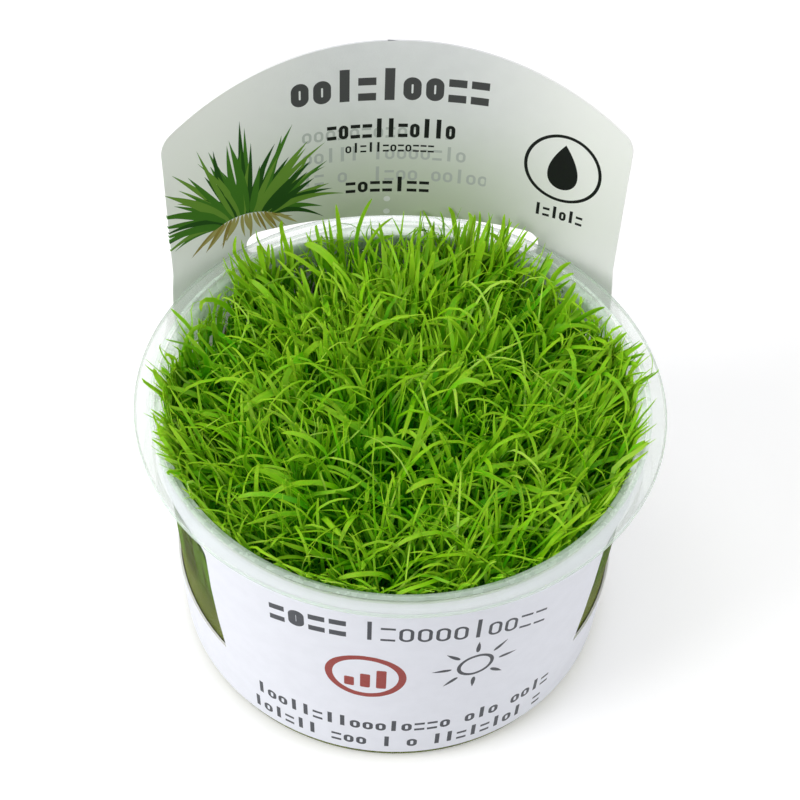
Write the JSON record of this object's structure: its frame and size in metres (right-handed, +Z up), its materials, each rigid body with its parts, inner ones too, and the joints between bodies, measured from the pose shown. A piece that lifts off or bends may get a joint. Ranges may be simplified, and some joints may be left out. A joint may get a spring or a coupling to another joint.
{
  "type": "tissue culture cup of bog plant turf",
  "caption": "Clear flanged cup of nutrient gel filled with a dense turf of fine grass-like plantlets, in a wrap-round label sleeve with a tall arched header.",
  "frame": {"origin": "centre of the cup's flat base, on the surface it stands on", "axes": "+Z up the cup's axis, -Y out of the front label, +Y towards the header, +X to the right of someone who reads the label"},
  "size_m": [0.08, 0.08, 0.0836],
  "materials": {
    "clear_plastic": "clear, smooth, lightly fogged inside",
    "gel": "moist translucent jelly, olive from the plants above it",
    "leaf": "satin living leaf, bright yellow-green tips and darker feet",
    "label_card": "coated white label card, semi-matt, printed on the outside of the front and the face of the header"
  },
  "bodies": {
    "root": {"cup": "clear_plastic", "nutrient_gel": "gel", "plantlet_clump_1": "leaf", "plantlet_clump_2": "leaf", "plantlet_clump_3": "leaf", "plantlet_clump_4": "leaf", "plantlet_clump_5": "leaf", "plantlet_clump_6": "leaf", "plantlet_clump_7": "leaf", "label_sleeve": "label_card"}
  },
  "joints": []
}
